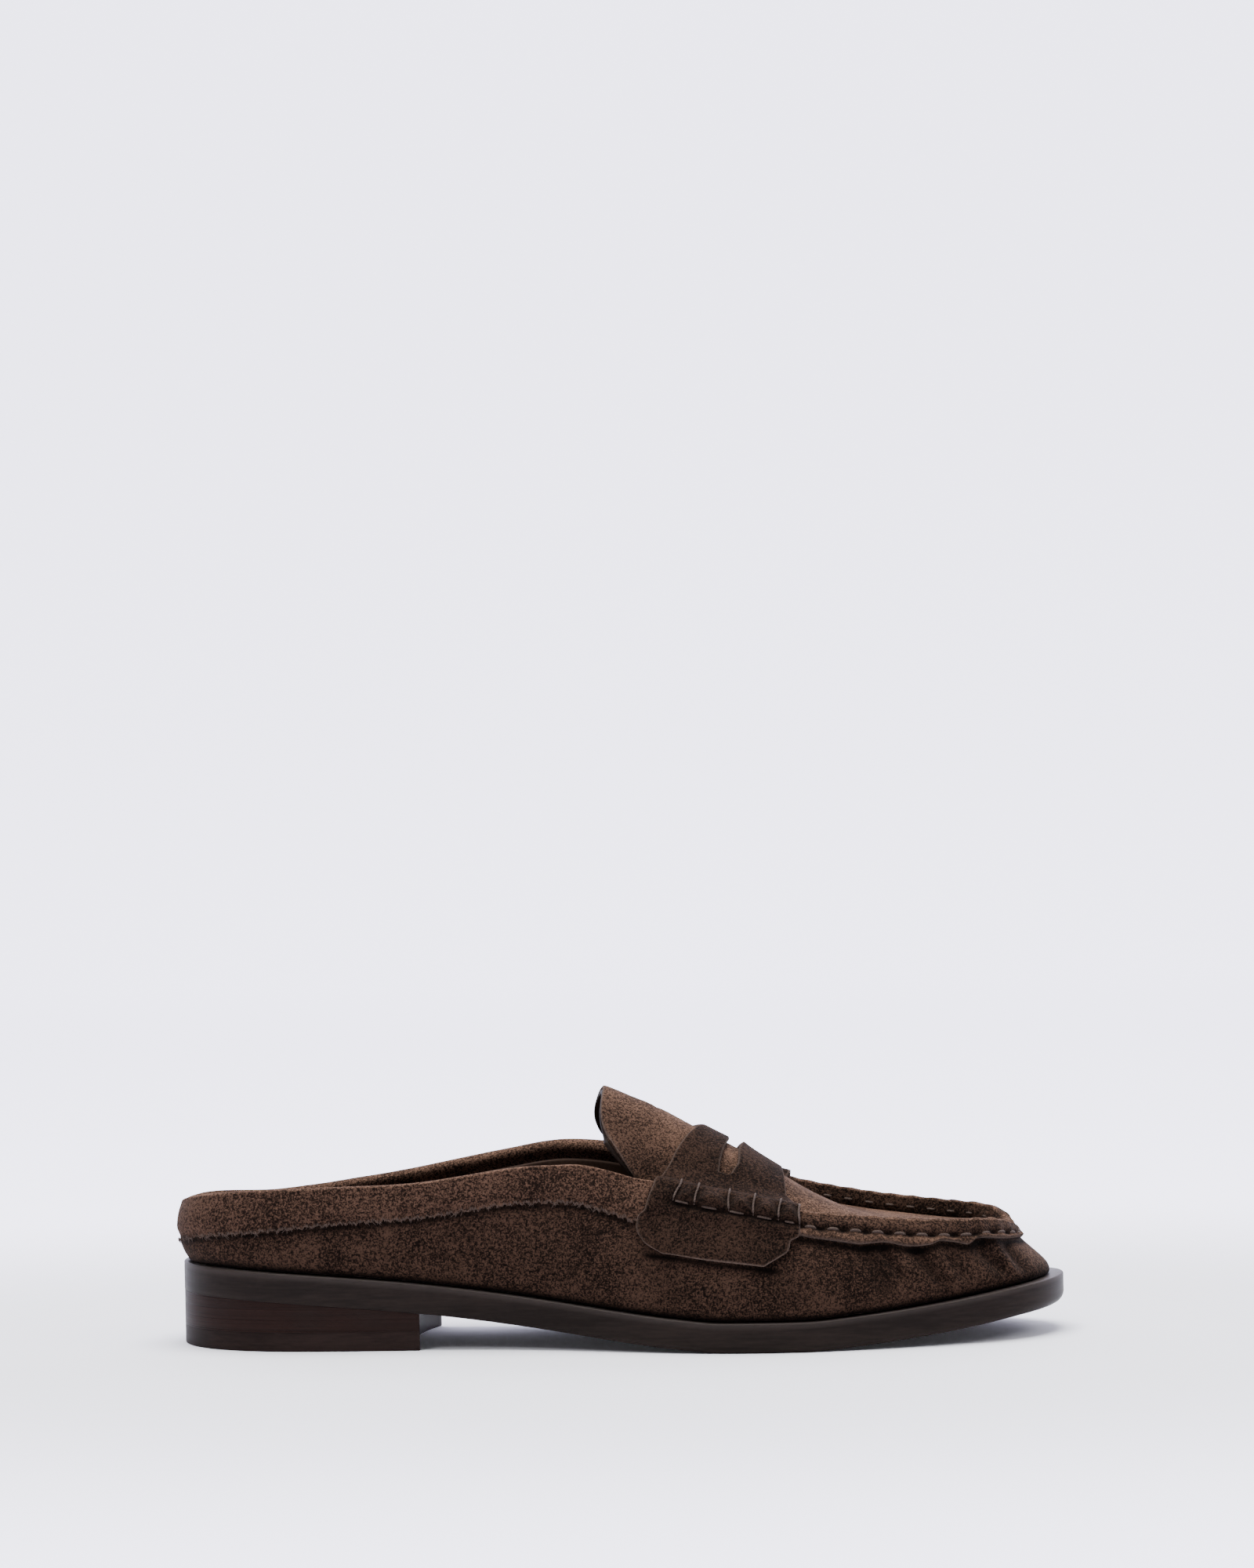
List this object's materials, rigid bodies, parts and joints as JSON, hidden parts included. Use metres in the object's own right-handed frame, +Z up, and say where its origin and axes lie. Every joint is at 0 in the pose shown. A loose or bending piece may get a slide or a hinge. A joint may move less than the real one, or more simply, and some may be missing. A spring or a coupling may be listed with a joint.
{
  "type": "loafer mule",
  "caption": "Low brown suede loafer mule: hollow upper with a sunk apron and raised seam, saddle strap, tongue, bound collar, leather sole and low stacked heel.",
  "frame": {"origin": "on the floor, under the middle of the heel's top lift", "axes": "+X from the heel towards the toe, +Y towards the shoe's inner side, +Z up; the outer side faces -Y"},
  "size_m": [0.2656, 0.0878, 0.0761],
  "materials": {
    "brown_suede": "napped suede",
    "dark_suede": "napped suede",
    "sole_leather": "satin",
    "stacked_leather": "satin, layered",
    "lift_rubber": "satin",
    "sock_leather": "smooth"
  },
  "bodies": {
    "root": {"outsole": "sole_leather", "heel_stack": "stacked_leather", "top_lift": "lift_rubber", "insole": "sock_leather", "upper": "brown_suede", "collar_band": "brown_suede", "saddle_strap": "dark_suede"}
  },
  "joints": []
}
